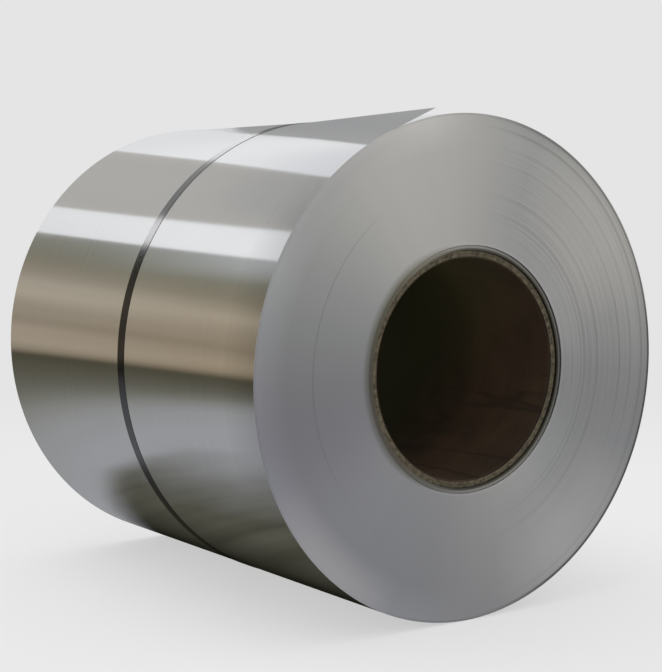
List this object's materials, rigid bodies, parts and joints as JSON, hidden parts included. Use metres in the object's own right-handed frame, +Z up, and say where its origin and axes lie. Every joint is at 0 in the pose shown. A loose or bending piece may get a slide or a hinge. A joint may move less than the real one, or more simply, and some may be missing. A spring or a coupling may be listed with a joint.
{
  "type": "aluminum coil",
  "caption": "Coil of bright aluminium strip wound on a paperboard core, held by a flat steel strap, with its outer end springing free.",
  "frame": {"origin": "on the floor, under the middle of the coil", "axes": "the coil lies on its side with its axis along Y; -Y is the end that the picture shows, +Z is up, and the strip's free end is on top, towards -X"},
  "size_m": [1.1609, 1.2216, 1.1681],
  "materials": {
    "aluminium_strip": "bright mill finish, rolled grain around the coil; smooth grey stacked edges on the ends",
    "paperboard": "brown-grey spiral-wound paperboard, matte",
    "blued_steel": "dark blued strapping steel, glossy"
  },
  "bodies": {
    "root": {"coil": "aluminium_strip", "paper_core": "paperboard", "steel_strap": "blued_steel", "strap_seal": "blued_steel"}
  },
  "joints": []
}
